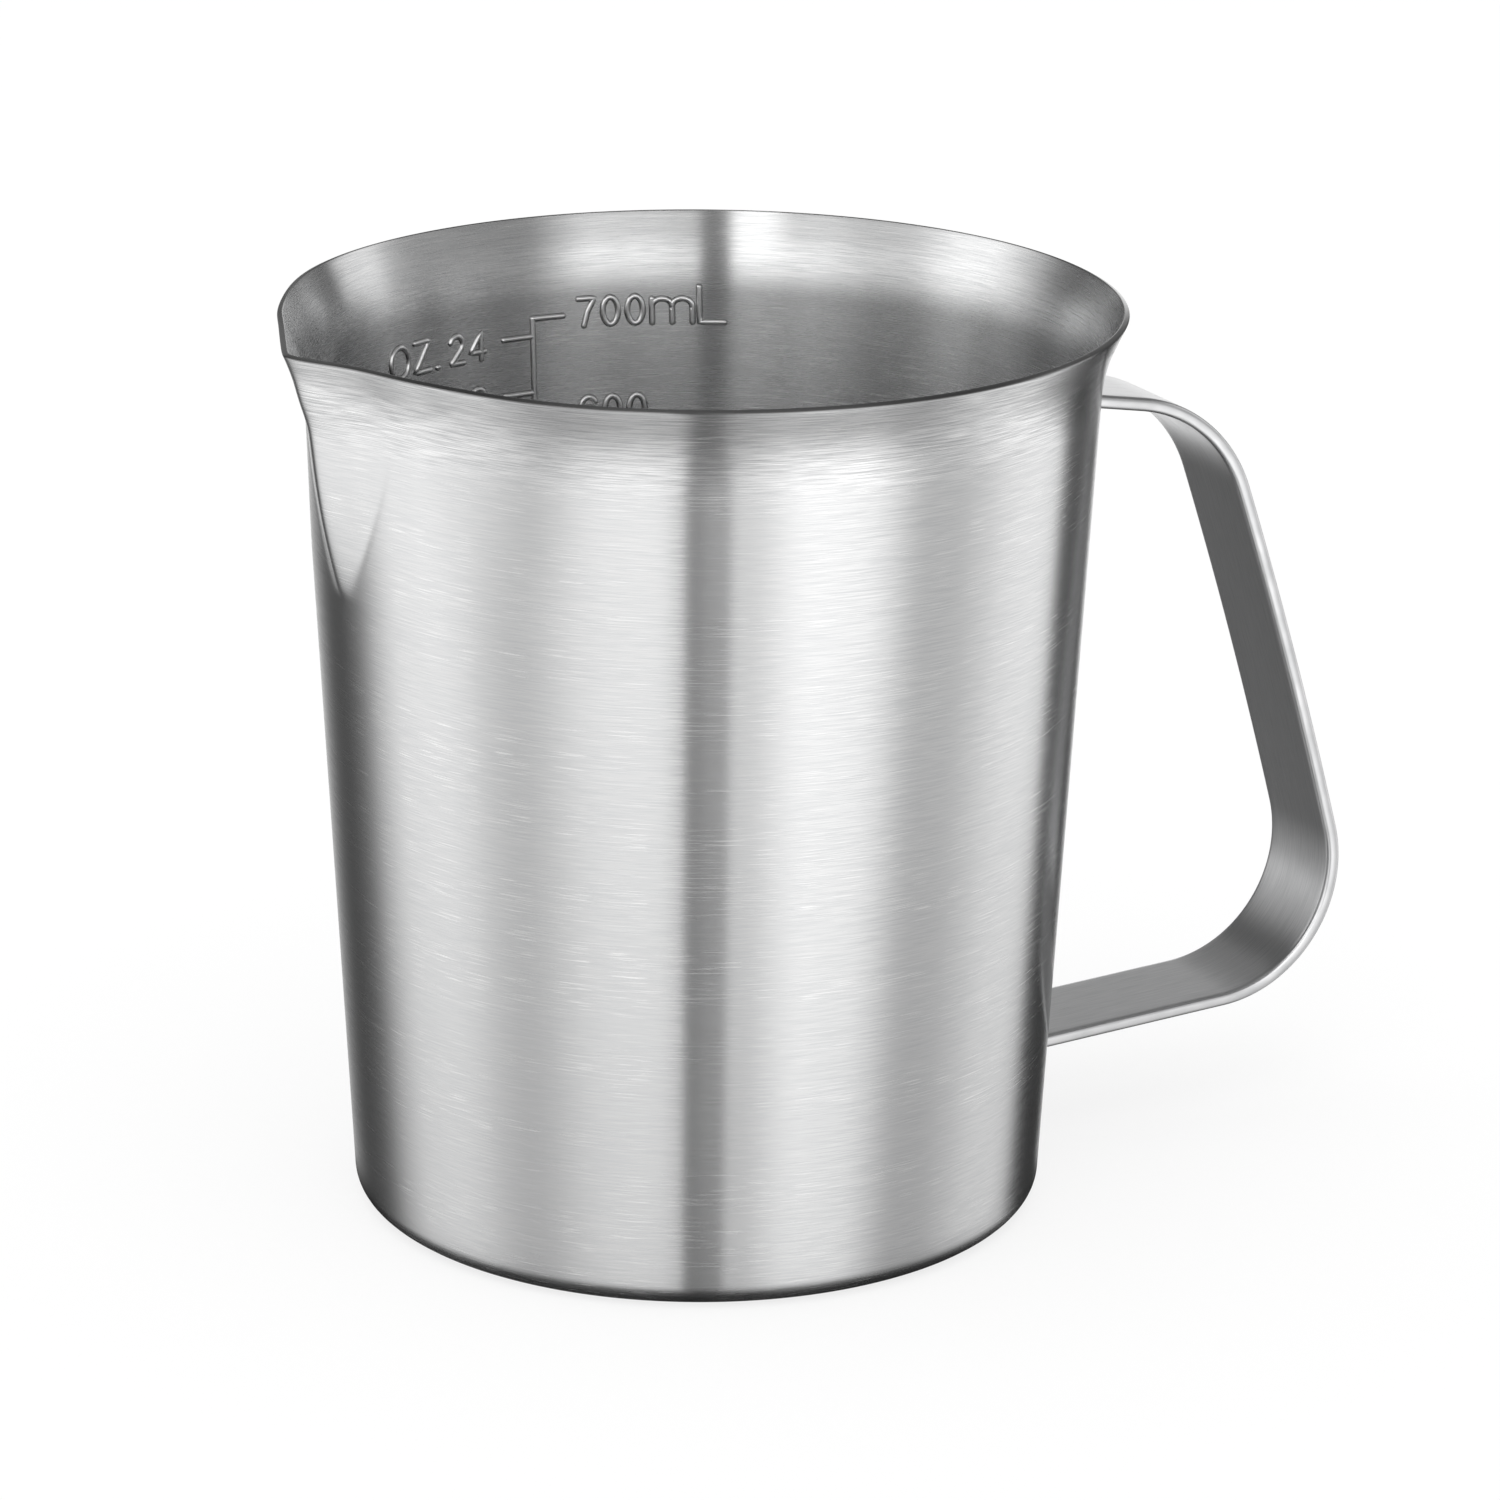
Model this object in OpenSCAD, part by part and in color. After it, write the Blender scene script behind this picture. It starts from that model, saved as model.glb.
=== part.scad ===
// Stainless steel measuring jug: one drawn bowl with a pinched spout and a
// raised scale inside, and a bent strap handle welded to the wall at two places.
// The jug stands on z = 0 with its axis on Z. The handle points along +X, the
// spout along -X, and the scale is on the +Y side. All lengths are millimetres.

/* [Bowl] */
// Outside diameter of the wall line where it reaches the table
foot_d = 88.7; // [70:0.1:98]
// Outside diameter of the wall line carried straight up to rim height
mouth_d = 101.4; // [90:0.1:104]
// Outside diameter of the turned-out rim
rim_d = 106.7; // [104:0.1:112]
// Height of the rim above the table
jug_h = 116.9; // [95:0.1:160]
// Thickness of the steel sheet
sheet_t = 0.8; // [0.5:0.05:1.2]
// Outside radius of the corner between wall and floor
corner_r = 3.3; // [2:0.1:8]
// Height from the rim down to where the wall line and the lip line cross
lip_h = 6.4; // [5:0.1:10]
// Part of the lip's height that the bend reaches to either side of that crossing
lip_bend_share = 0.62; // [0.3:0.02:0.8]

/* [Spout] */
// Height from the rim down to the lowest point of the pinched spout
spout_h = 32.9; // [24:0.1:45]
// How far the tip of the spout stands out beyond the rim
spout_reach = 3.1; // [2.6:0.1:8]
// Angle from the middle of the spout to where each flank meets the bowl at the rim
spout_half_angle = 15; // [10:0.5:15.5]
// Radius of the rounded edge along the middle of the spout
spout_nose_r = 2.6; // [1.6:0.1:4]

/* [Handle] */
// Width of the strap
strap_w = 15.2; // [10:0.1:20]
// Thickness of the strap, which has fully round edges
strap_t = 1.8; // [1.2:0.1:3]
// Height from the rim down to the middle of the strap at its upper weld
handle_drop = 15.9; // [13:0.1:24]
// Height from the table up to the middle of the strap at its lower weld
handle_foot_h = 13.3; // [8:0.1:24]
// Length of the straight upper run, measured from the wall
top_run = 10.3; // [4:0.1:20]
// Fall of the upper run below level
top_tilt = 9.5; // [0:0.5:20]
// Middle radius of the bend above the grip
shoulder_r = 20; // [8:0.5:26]
// Slope of the grip below level where it leaves the upper bend
grip_tilt = 70; // [62:0.5:80]
// Angle through which the grip bows over its length
grip_bow = 4; // [1:0.5:10]
// Middle radius of the bend below the grip
heel_r = 17.5; // [8:0.5:22]
// Fall of the lower run below level, on its way back to the wall
foot_tilt = 3.5; // [0:0.5:12]

/* [Welds] */
// Thickness of the weld between each strap end and the wall
weld_gap = 0.5; // [0.3:0.05:1]
// How far the weld stands out round the strap
weld_lip = 0.35; // [0.1:0.05:0.8]

/* [Scale] */
// Volume between two marks on the millilitre side, in mL
ml_step = 100; // [50:10:200]
// Volume between two marks on the ounce side, in imperial fluid ounces
oz_step = 2; // [1:1:4]
// Lowest mark on the ounce side, in imperial fluid ounces
oz_first = 4; // [2:1:6]
// Length of a mark
mark_l = 4.4; // [2:0.1:8]
// Width of the raised lines
ridge_w = 0.6; // [0.4:0.05:1]
// Height of the raised lines above the inside wall
ridge_h = 0.35; // [0.2:0.05:0.6]

/* [Hidden] */
$fn = 96;

// Directions of the parts round the jug
scale_azimuth = 90;
spout_azimuth = 180;

// How far cutting shapes run past what they cut
overrun = 2;

// Cubic millimetres in a millilitre, and millilitres in an imperial fluid ounce
mm3_per_ml = 1000;
ml_per_oz = 28.413;

// Volume solver: passes of Newton's rule
newton_passes = 8;

// Flats along the arcs of the bowl's outline, the bends of the strap and its round edges
corner_steps = 10;
bend_steps = 8;
shoulder_steps = 12;
grip_steps = 6;
heel_steps = 20;
edge_steps = 8;

// Spout surface: levels along its height, points round its nose, and how fast
// its reach and its width grow from the lowest point
spout_levels = 16;
nose_points = 7;
reach_power = 2.8;
width_power = 2;
// Part of the flank that runs on past the bowl's outline, and depth of the
// spout's root inside the bowl as a part of its radius
flank_extra_share = 0.06;
root_depth_share = 0.15;
// Angle that the spout's nose covers to each side at its lowest point, how deep that
// point sinks as a part of the sheet, and how far up it surfaces as a part of the spout
spout_nose_angle = 1.5;
spout_sink_share = 0.6;
spout_sink_h_share = 0.08;
// Part of the sheet that a raised line reaches into, and height of a mark as a part
// of the upright line's
ridge_sink_share = 0.5;
mark_h_share = 0.85;

steel = [0.74, 0.75, 0.76];
strap_steel = [0.66, 0.67, 0.68];
weld_steel = [0.52, 0.52, 0.53];

foot_r = foot_d / 2;
mouth_r = mouth_d / 2;
rim_r = rim_d / 2;
knee_z = jug_h - lip_h;

// Slopes of the two wall lines, as radius gained per height, and the level
// width that one unit of thickness takes on each
wall_slope = (mouth_r - foot_r) / jug_h;
wall_stretch = sqrt(1 + pow(wall_slope, 2));
lip_slope = (rim_r - foot_r - wall_slope * knee_z) / lip_h;
lip_stretch = sqrt(1 + pow(lip_slope, 2));

// Radius of the wall line and of the lip line at a height, for a surface that
// lies inset inside the outer one
function wall_r(z, inset = 0) = foot_r + wall_slope * z - inset * wall_stretch;
function lip_r(z, inset = 0) = rim_r - lip_slope * (jug_h - z) - inset * lip_stretch;

// Half of the turn between wall and lip, outside radius of the bend, and heights where
// it starts and ends. A lip that leans inwards has a negative turn and radius.
half_turn = (atan(lip_slope) - atan(wall_slope)) / 2;
bend_reach = lip_bend_share * lip_h;
lip_bend_r = bend_reach / tan(half_turn);
bend_start_z = knee_z - bend_reach / wall_stretch;
bend_end_z = knee_z + bend_reach / lip_stretch;
bend_centre_z = bend_start_z - lip_bend_r * wall_slope / wall_stretch;
bend_centre_r = wall_r(bend_start_z) + lip_bend_r / wall_stretch;

// Radius of the bowl's surface at a height, with the bend
function bend_r(z, inset) =
    bend_centre_r - sign(lip_bend_r) * sqrt(pow(lip_bend_r + inset, 2) - pow(z - bend_centre_z, 2));
function bowl_r(z, inset = 0) =
    z < bend_start_z ? wall_r(z, inset) : z > bend_end_z ? lip_r(z, inset) : bend_r(z, inset);

// Volume of liquid that stands level above the floor, without the corner's share
floor_r = wall_r(sheet_t, sheet_t);
function frustum_volume(level) =
    PI * level * (pow(floor_r, 2) + floor_r * wall_slope * level + pow(wall_slope * level, 2) / 3);
corner_loss = (1 - PI / 4) * pow(corner_r - sheet_t, 2) * 2 * PI * floor_r;
function surface_area(level) = PI * pow(floor_r + wall_slope * level, 2);
function level_step(volume, level, passes) =
    passes == 0 ? level
    : level_step(
        volume,
        level - (frustum_volume(level) - corner_loss - volume) / surface_area(level),
        passes - 1);

// Height above the table at which the jug holds a number of millilitres
function mark_z(ml) =
    sheet_t + level_step(ml * mm3_per_ml, ml * mm3_per_ml / (PI * pow(floor_r, 2)), newton_passes);

// The marks stop below the bend of the lip
brim_ml = (frustum_volume(bend_start_z - ridge_w - sheet_t) - corner_loss) / mm3_per_ml;
ml_marks = [for (ml = [ml_step : ml_step : brim_ml]) ml];
oz_marks = [for (oz = [oz_first : oz_step : brim_ml / ml_per_oz]) oz * ml_per_oz];

// Curve that starts fast and flattens out, from 0 to 1
function ease_out(share, power) = 1 - pow(1 - share, power);

// Handle path in the plane of the handle, as [radius, height]
function along(angle) = [cos(angle), sin(angle)];
function turn_step(radius, from, to) = radius * (along(from - 90) - along(to - 90));
top_angle = -top_tilt;
grip_start_angle = -grip_tilt;
grip_end_angle = -grip_tilt - grip_bow;
chord_angle = -grip_tilt - grip_bow / 2;
foot_angle = foot_tilt - 180;

upper_end = [wall_r(jug_h - handle_drop), jug_h - handle_drop];
lower_end = [wall_r(handle_foot_h), handle_foot_h];
shoulder_start = upper_end + top_run * along(top_angle);
grip_start = shoulder_start + turn_step(shoulder_r, top_angle, grip_start_angle);
// The chord of the grip and the lower run close the path between the two welds
path_left = lower_end - grip_start - turn_step(heel_r, grip_end_angle, foot_angle);
function cross2(a, b) = a[0] * b[1] - a[1] * b[0];
closing = cross2(along(chord_angle), along(foot_angle));
grip_chord = cross2(path_left, along(foot_angle)) / closing;
grip_r = grip_chord / (2 * sin(grip_bow / 2));
heel_start = grip_start + grip_chord * along(chord_angle);

// Points along an arc between two directions
function arc_points(centre, radius, from, to, steps) =
    [for (i = [0 : steps]) centre + radius * along(from + (to - from) * i / steps)];

// Half outline of the bowl for a surface that lies inset inside the outer one
module bowl_outline(inset, top_z) {
    wall_tilt = atan(wall_slope);
    round_r = corner_r - inset;
    corner_reach = round_r * tan((90 - wall_tilt) / 2);
    corner_centre = [wall_r(inset, inset) - corner_reach, inset + round_r];
    corner_arc = arc_points(corner_centre, round_r, -90, -wall_tilt, corner_steps);
    lip_tilt = atan(lip_slope);
    bend_centre = [bend_centre_r, bend_centre_z];
    bend_arc = arc_points(bend_centre, lip_bend_r + inset, 180 - wall_tilt, 180 - lip_tilt, bend_steps);
    polygon(concat([[0, inset]], corner_arc, bend_arc, [[lip_r(top_z, inset), top_z], [0, top_z]]));
}

// Level outline of the spout at a share of its height, as points at one height:
// root, flank, rounded nose, flank, root. Its lowest levels sink into the sheet.
function spout_ring(share, inset) =
    let (z = jug_h - spout_h * (1 - share))
    let (held = min(share, 1))
    let (sink = spout_sink_share * sheet_t * max(1 - share / spout_sink_h_share, 0))
    let (bowl = bowl_r(z, inset) - sink)
    let (valley = spout_nose_angle + (spout_half_angle - spout_nose_angle) * ease_out(held, width_power))
    let (tip = bowl + spout_reach * ease_out(held, reach_power))
    let (meet = bowl * along(valley))
    let (flank_angle = atan2(tip - meet[0], meet[1]))
    let (nose_r = max(spout_nose_r - inset, 0))
    let (nose_x = tip - nose_r / cos(flank_angle))
    let (flank_end = meet + flank_extra_share * (meet - [tip, 0]))
    let (root = flank_end - root_depth_share * [bowl, 0])
    let (turns = [for (i = [0 : nose_points - 1]) flank_angle * (2 * i / (nose_points - 1) - 1)])
    let (nose = [for (turn = turns) [nose_x, 0] + nose_r * along(turn)])
    [for (p = concat([mirrored(root), mirrored(flank_end)], nose, [flank_end, root])) [p[0], p[1], z]];
function mirrored(p) = [p[0], -p[1]];

// Closed solid through rings of points, each ring running anticlockwise seen from the last one
module ring_solid(rings) {
    count = len(rings[0]);
    last = len(rings) - 1;
    sides = [
        for (i = [0 : last - 1], j = [0 : count - 1])
        let (k = (j + 1) % count)
        each [
            [i * count + j, (i + 1) * count + j, i * count + k],
            [i * count + k, (i + 1) * count + j, (i + 1) * count + k]
        ]
    ];
    first_cap = [for (j = [0 : count - 1]) j];
    last_cap = [for (j = [count - 1 : -1 : 0]) last * count + j];
    polyhedron([for (ring = rings, p = ring) p], concat([first_cap], sides, [last_cap]));
}

// Solid of the pinched spout for a surface that lies inset inside the outer one,
// carried on past the rim
module spout_form(inset) {
    start_share = inset / spout_h;
    shares = [for (i = [0 : spout_levels]) start_share + (1 - start_share) * i / spout_levels];
    rotate(spout_azimuth)
        ring_solid([for (share = concat(shares, [1 + overrun / spout_h])) spout_ring(share, inset)]);
}

// Everything inside a surface that lies inset inside the outer one, carried on past the rim
module bowl_form(inset) {
    rotate_extrude()
        bowl_outline(inset, jug_h + overrun);
    spout_form(inset);
}

// Space above the rim, wide enough for the spout carried on past it
module above_rim() {
    widest_r = max(rim_r, lip_r(jug_h + overrun)) + spout_reach + overrun;
    translate([0, 0, jug_h])
        cylinder(h = 2 * overrun, r = widest_r);
}

// Outline of a raised line on the inside wall between two heights
module ridge_outline(low_z, high_z, height) {
    sink = ridge_sink_share * sheet_t;
    low_r = wall_r(low_z, sheet_t);
    high_r = wall_r(high_z, sheet_t);
    low_edge = [[low_r - height, low_z], [low_r + sink, low_z]];
    high_edge = [[high_r + sink, high_z], [high_r - height, high_z]];
    polygon(concat(low_edge, high_edge));
}

// One raised mark, from the scale's upright line towards one side
module mark(ml, side) {
    z = mark_z(ml);
    span = mark_l / wall_r(z, sheet_t) * 180 / PI;
    rotate(scale_azimuth + min(side, 0) * span)
        rotate_extrude(angle = span)
            ridge_outline(z - ridge_w / 2, z + ridge_w / 2, mark_h_share * ridge_h);
}

// Upright line of the scale, from the lowest mark to the highest
module scale_line() {
    low_z = mark_z(min(ml_marks[0], oz_marks[0]));
    high_z = mark_z(max(ml_marks[len(ml_marks) - 1], oz_marks[len(oz_marks) - 1]));
    span = ridge_w / wall_r(high_z, sheet_t) * 180 / PI;
    rotate(scale_azimuth - span / 2)
        rotate_extrude(angle = span)
            ridge_outline(low_z, high_z, ridge_h);
}

// The drawn bowl with its lip, spout and scale
module jug_body() {
    color(steel) {
        difference() {
            bowl_form(0);
            bowl_form(sheet_t);
            above_rim();
        }
        scale_line();
        for (ml = ml_marks)
            mark(ml, -1);
        for (ml = oz_marks)
            mark(ml, 1);
    }
}

// Outline of the strap across a point of its path, with round edges, grown all round
function strap_ring(station, grow = 0) =
    let (edge_r = strap_t / 2 + grow)
    let (across = along(station[1] + 90))
    [
        for (side = [-1, 1], i = [0 : edge_steps])
        let (edge = side * edge_r * along(180 * i / edge_steps - 90))
        let (middle = station[0] + edge[1] * across)
        [middle[0], side * (strap_w - strap_t) / 2 + edge[0], middle[1]]
    ];

// Stations along a bend of the path, as [point, direction]
function bend_stations(start, from, to, radius, steps) = [
    for (i = [0 : steps])
    let (angle = from + (to - from) * i / steps)
    [start + turn_step(radius, from, angle), angle]
];

// Stations of a bend without its two ends, which belong to its neighbours
function inner_stations(stations) = [for (i = [1 : len(stations) - 2]) stations[i]];

// Straight stretch of strap through a point of the path
module strap_stub(point, angle, grow) {
    ring_solid([
        for (side = [-1, 1])
        strap_ring([point + side * overrun * along(angle), angle], grow)
    ]);
}

// Solid cone of the straight wall, grown outwards
module wall_cone(grow) {
    level_grow = grow * wall_stretch;
    cylinder(h = jug_h, r1 = foot_r + level_grow, r2 = mouth_r + level_grow);
}

// The bent strap, with both ends cut to the curve of the wall
module handle() {
    stations = concat(
        [[upper_end - overrun * along(top_angle), top_angle]],
        bend_stations(shoulder_start, top_angle, grip_start_angle, shoulder_r, shoulder_steps),
        inner_stations(bend_stations(grip_start, grip_start_angle, grip_end_angle, grip_r, grip_steps)),
        bend_stations(heel_start, grip_end_angle, foot_angle, heel_r, heel_steps),
        [[lower_end + overrun * along(foot_angle), foot_angle]]);
    color(strap_steel)
        difference() {
            ring_solid([for (station = stations) strap_ring(station)]);
            wall_cone(weld_gap);
        }
}

// Weld between the wall and a strap end that lies along an angle
module weld(end, angle) {
    color(weld_steel)
        intersection() {
            strap_stub(end, angle, weld_lip);
            difference() {
                wall_cone(weld_gap);
                wall_cone(0);
            }
        }
}

module upper_handle_weld() {
    weld(upper_end, top_angle);
}

module lower_handle_weld() {
    weld(lower_end, foot_angle);
}

jug_body();
handle();
upper_handle_weld();
lower_handle_weld();
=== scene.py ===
"""Measuring jug in brushed stainless steel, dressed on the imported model.

The jug stands on z = 0 with its axis on Z. The handle points along +X, the
spout along -X, and the scale is on the inside of the +Y side. Sizes in the
classes are millimetres and degrees. Meshes are metres.
"""

import logging
from dataclasses import dataclass, field
from enum import Enum

import bpy
import numpy as np
from bpy.types import ID, Material, Mesh, Node, NodeSocket as Socket, NodeTree, Object
from mathutils import Matrix, Vector

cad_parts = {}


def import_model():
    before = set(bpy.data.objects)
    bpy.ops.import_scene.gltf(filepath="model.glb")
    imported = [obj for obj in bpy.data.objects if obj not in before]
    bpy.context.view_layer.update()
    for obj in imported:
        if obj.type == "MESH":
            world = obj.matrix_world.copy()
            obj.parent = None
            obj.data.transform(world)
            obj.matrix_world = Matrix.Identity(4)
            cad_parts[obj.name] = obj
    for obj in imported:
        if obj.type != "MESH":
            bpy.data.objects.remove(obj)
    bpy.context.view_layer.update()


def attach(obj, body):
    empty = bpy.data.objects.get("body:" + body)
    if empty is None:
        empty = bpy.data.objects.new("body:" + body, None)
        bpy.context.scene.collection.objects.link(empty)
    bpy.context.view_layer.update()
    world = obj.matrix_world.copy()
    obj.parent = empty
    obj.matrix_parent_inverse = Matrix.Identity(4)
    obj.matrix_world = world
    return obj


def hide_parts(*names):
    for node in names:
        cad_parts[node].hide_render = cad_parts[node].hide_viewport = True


Array = np.ndarray
Pair = tuple[float, float]
Triple = tuple[float, float, float]

LOG = logging.getLogger("measuring_jug")
BODY = "root"
MM = 0.001
BRUSH_UV = "brush"
GRAIN = "grain"
POLISH_AND_PAINTED_LIGHT = "polish_and_painted_light"
# Attribute of where the rim's sheared edge takes painted shade.
CUT_SHADE = "cut_edge_shade"
GLOW = "glow"
SHADE = "shade"
MM3_PER_ML = 1000.0
SOLVER_PASSES = 8
LINE_STEPS = 5
ARC_STEPS = 19
WHITE = (1.0, 1.0, 1.0, 1.0)
GLINT_DEPTH = 0.3
LETTER_WIDTHS = {"m": 1.66, "L": 1.0, "O": 1.2, "Z": 1.02, ".": 0.24}


class Slot(Enum):
    """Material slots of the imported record."""

    BOWL = "bowl_steel"
    HANDLE = "handle_steel"
    WELD = "weld_steel"


class StrapEnd(Enum):
    """The two welded ends of the strap."""

    UPPER = "upper"
    LOWER = "lower"


def smoothstep(low: float, high: float, value: Array) -> Array:
    """Eases from 0 at low to 1 at high with level ends: 3 t^2 - 2 t^3.

    Args:
        low: Value that gives 0.
        high: Value that gives 1.
        value: Values to ease.

    Returns:
        Eased values, the same shape as value.
    """
    t = np.clip((value - low) / (high - low), 0.0, 1.0)
    return t * t * (3.0 - 2.0 * t)


def heading(angle: float | Array) -> Array:
    """Unit vector [cos, sin] of an angle in degrees, on a new last axis."""
    turn = np.radians(angle)
    return np.stack([np.cos(turn), np.sin(turn)], axis=-1)


def grid_cells(rows: int, columns: int) -> tuple[Array, Array, Array]:
    """Cells of a grid of points whose rows are closed loops.

    Args:
        rows: Rows of points.
        columns: Points in each row.

    Returns:
        Row of each cell, column of each cell, and the four points round it.
    """
    i, j = np.meshgrid(np.arange(rows - 1), np.arange(columns), indexing="ij")
    k = (j + 1) % columns
    low, high = i * columns, (i + 1) * columns
    return i, j, np.stack([low + j, low + k, high + k, high + j], -1)


def with_ends(part: Array) -> Array:
    """Values at all points of a skin, with the middle of each end last."""
    return np.concatenate([part.reshape(-1, *part.shape[2:]), part[[0, -1]].mean(axis=1)])


def travelled(*coordinates: Array) -> Array:
    """Distance along a line of points, from the first one."""
    strides = np.sqrt(sum(np.diff(part) ** 2 for part in coordinates))
    return np.append(0.0, np.cumsum(strides))


def place(name: str, data: ID) -> Object:
    """Makes an object and links it to the scene.

    Args:
        name: Name of the object.
        data: Its mesh, camera or lamp.

    Returns:
        The object, unturned at the origin.
    """
    item = bpy.data.objects.new(name, data)
    bpy.context.scene.collection.objects.link(item)
    return item


def paint_points(mesh: Mesh, name: str, values: Array) -> None:
    """Keeps one number for each point of a mesh, as a named attribute."""
    attribute = mesh.attributes.new(name, "FLOAT", "POINT")
    attribute.data.foreach_set("value", values.astype(np.float32).ravel())


@dataclass
class Tube:
    """A closed skin: rows of points, each row a closed loop, capped at both ends.

    Attributes:
        points: Places in mm, rows x columns x 3.
        grain: Brush coordinates in mm, rows x columns x 3. Marks run along the
            first two and change quickly along the third.
        across: Distance across the brush marks in mm, rows x (columns + 1).
        along: Distance along the brush marks in mm, rows x (columns + 1).
        polish_and_painted_light: How far a press tool has rubbed the sheet
        smooth, 0 to 1, or the band of scoring with its painted lift in
        brightness, 0 to -1, rows x columns. On the scale's ridges, 0 marks
        the painted shade round each ridge.
        cut: Share of painted shade on the sheared rim edge, 0 to 1, rows x columns.
    """

    points: Array
    grain: Array
    across: Array
    along: Array
    polish_and_painted_light: float | Array = 0.0
    cut: float | Array = 0.0

    def __post_init__(self) -> None:
        """Spreads what is given for rows or columns alone over all points."""
        rows, columns = self.points.shape[:2]
        self.across = np.broadcast_to(self.across, (rows, columns + 1))
        self.along = np.broadcast_to(self.along, (rows, columns + 1))
        self.polish_and_painted_light = np.broadcast_to(self.polish_and_painted_light, (rows, columns))
        self.cut = np.broadcast_to(self.cut, (rows, columns))

    def faces(self) -> tuple[Array, Array, Array, Array]:
        """Sides and caps, turned so that they point outwards.

        The volume below the faces is a sum of triple products. Its sign says
        whether the skin is inside out.

        Returns:
            Quads, triangles, and the brush map of the corners of each.
        """
        rows, columns = self.points.shape[:2]
        i, j, quads = grid_cells(rows, columns)
        map_at = np.stack([self.across, self.along], -1) * MM
        quad_map = np.stack(
            [map_at[i, j], map_at[i, j + 1], map_at[i + 1, j + 1], map_at[i + 1, j]], -2
        )
        ring = np.arange(columns)
        after = (ring + 1) % columns
        last = (rows - 1) * columns
        middle = np.full(columns, rows * columns)
        triangles = np.vstack([
            np.stack([middle, after, ring], -1),
            np.stack([middle + 1, last + ring, last + after], -1),
        ])
        first_middle = np.broadcast_to(map_at[0].mean(axis=0), (columns, 2))
        last_middle = np.broadcast_to(map_at[-1].mean(axis=0), (columns, 2))
        triangle_map = np.vstack([
            np.stack([first_middle, map_at[0, 1:], map_at[0, :-1]], -2),
            np.stack([last_middle, map_at[-1, :-1], map_at[-1, 1:]], -2),
        ])
        quads, quad_map = quads.reshape(-1, 4), quad_map.reshape(-1, 4, 2)
        first, second, third, fourth = self.points.reshape(-1, 3)[quads].swapaxes(0, 1)
        volume = (first * (np.cross(second, third) + np.cross(third, fourth))).sum()
        if volume < 0:
            quads, quad_map = quads[:, ::-1], quad_map[:, ::-1]
            triangles, triangle_map = triangles[:, ::-1], triangle_map[:, ::-1]
        return quads, triangles, quad_map, triangle_map


def make_piece(name: str, tubes: list[Tube]) -> Object:
    """Makes one smooth mesh object from closed skins, with brush map and grain.

    Args:
        name: Name of the object and its mesh.
        tubes: Skins of the piece.

    Returns:
        The object, linked to the scene at the origin.
    """
    faces, maps, start = [], [], 0
    for tube in tubes:
        quads, triangles, quad_map, triangle_map = tube.faces()
        faces += (quads + start).tolist() + (triangles + start).tolist()
        maps += [quad_map.reshape(-1, 2), triangle_map.reshape(-1, 2)]
        start += len(with_ends(tube.points))
    parts = zip(*((tube.points, tube.grain, tube.polish_and_painted_light, tube.cut) for tube in tubes))
    points, grain, polish_and_painted_light, cut = (np.concatenate([with_ends(p) for p in part]) for part in parts)
    mesh = bpy.data.meshes.new(name)
    mesh.from_pydata((points * MM).tolist(), [], faces)
    brush = mesh.uv_layers.new(name=BRUSH_UV)
    brush.data.foreach_set("uv", np.vstack(maps).astype(np.float32).ravel())
    attribute = mesh.attributes.new(GRAIN, "FLOAT_VECTOR", "POINT")
    attribute.data.foreach_set("vector", (grain * MM).astype(np.float32).ravel())
    # Press polish, with the painted light of the scoring band and round the scale's ridges.
    paint_points(mesh, POLISH_AND_PAINTED_LIGHT, polish_and_painted_light)
    paint_points(mesh, CUT_SHADE, cut)
    mesh.polygons.foreach_set("use_smooth", np.ones(len(mesh.polygons), bool))
    mesh.update()
    return place(name, mesh)


def settle(piece: Object, slot: Slot, material: Material, *nodes: str) -> Object:
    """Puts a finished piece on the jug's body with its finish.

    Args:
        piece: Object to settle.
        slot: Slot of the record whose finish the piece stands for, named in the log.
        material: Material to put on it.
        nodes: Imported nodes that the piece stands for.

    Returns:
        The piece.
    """
    piece.data.materials.append(material)
    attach(piece, BODY)
    if nodes:
        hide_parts(*nodes)
    LOG.info("%s: %d faces, slot %s", piece.name, len(piece.data.polygons), slot.value)
    return piece


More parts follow.
